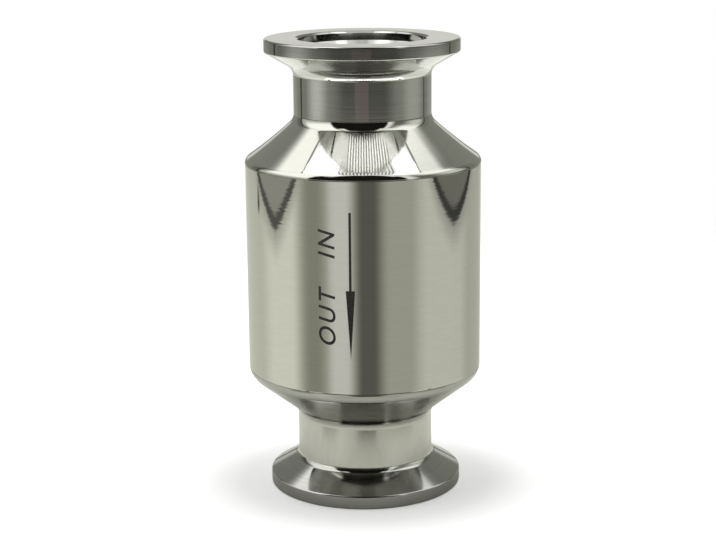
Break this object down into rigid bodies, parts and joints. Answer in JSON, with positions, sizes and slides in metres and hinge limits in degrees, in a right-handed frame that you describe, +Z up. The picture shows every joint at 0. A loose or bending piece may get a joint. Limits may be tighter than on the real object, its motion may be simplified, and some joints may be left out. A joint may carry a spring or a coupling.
{
  "type": "vacuum non-return valve",
  "caption": "In-line vacuum check valve in turned stainless steel, with a small clamp flange at each end and a spring-loaded poppet that lets gas pass one way.",
  "frame": {"origin": "centre of the outlet flange's sealing face, which the valve stands on", "axes": "+Z up along the bore from the outlet to the inlet; -Y towards the side with the flow arrow"},
  "size_m": [0.0486, 0.0486, 0.094],
  "materials": {
    "casing_steel": "fine turned, bright",
    "turned_steel": "turned",
    "ground_steel": "ground",
    "fastener_steel": "plain",
    "spring_steel": "drawn, bright",
    "seal_rubber": "moulded, matt",
    "bush_plastic": "turned, matt"
  },
  "bodies": {
    "casing": {"outlet_body": "casing_steel", "inlet_cap": "casing_steel", "body_seal": "seal_rubber", "guide_spider": "turned_steel", "guide_bush": "bush_plastic", "retaining_ring": "spring_steel", "spring_washer": "fastener_steel", "stop_sleeve": "turned_steel", "return_spring": "spring_steel"},
    "poppet": {"poppet_disc": "turned_steel", "poppet_seal": "seal_rubber", "valve_stem": "ground_steel", "lock_washer": "fastener_steel", "stem_nut": "fastener_steel", "stem_clip": "spring_steel"}
  },
  "joints": [
    {"name": "poppet_slide", "type": "slide", "parent": "casing", "child": "poppet", "axis": [0, 0, -1], "range_m": [0, 0.008], "stiffness_N_per_m": 410, "springref_m": -0.0056, "deforming": ["return_spring"]}
  ]
}
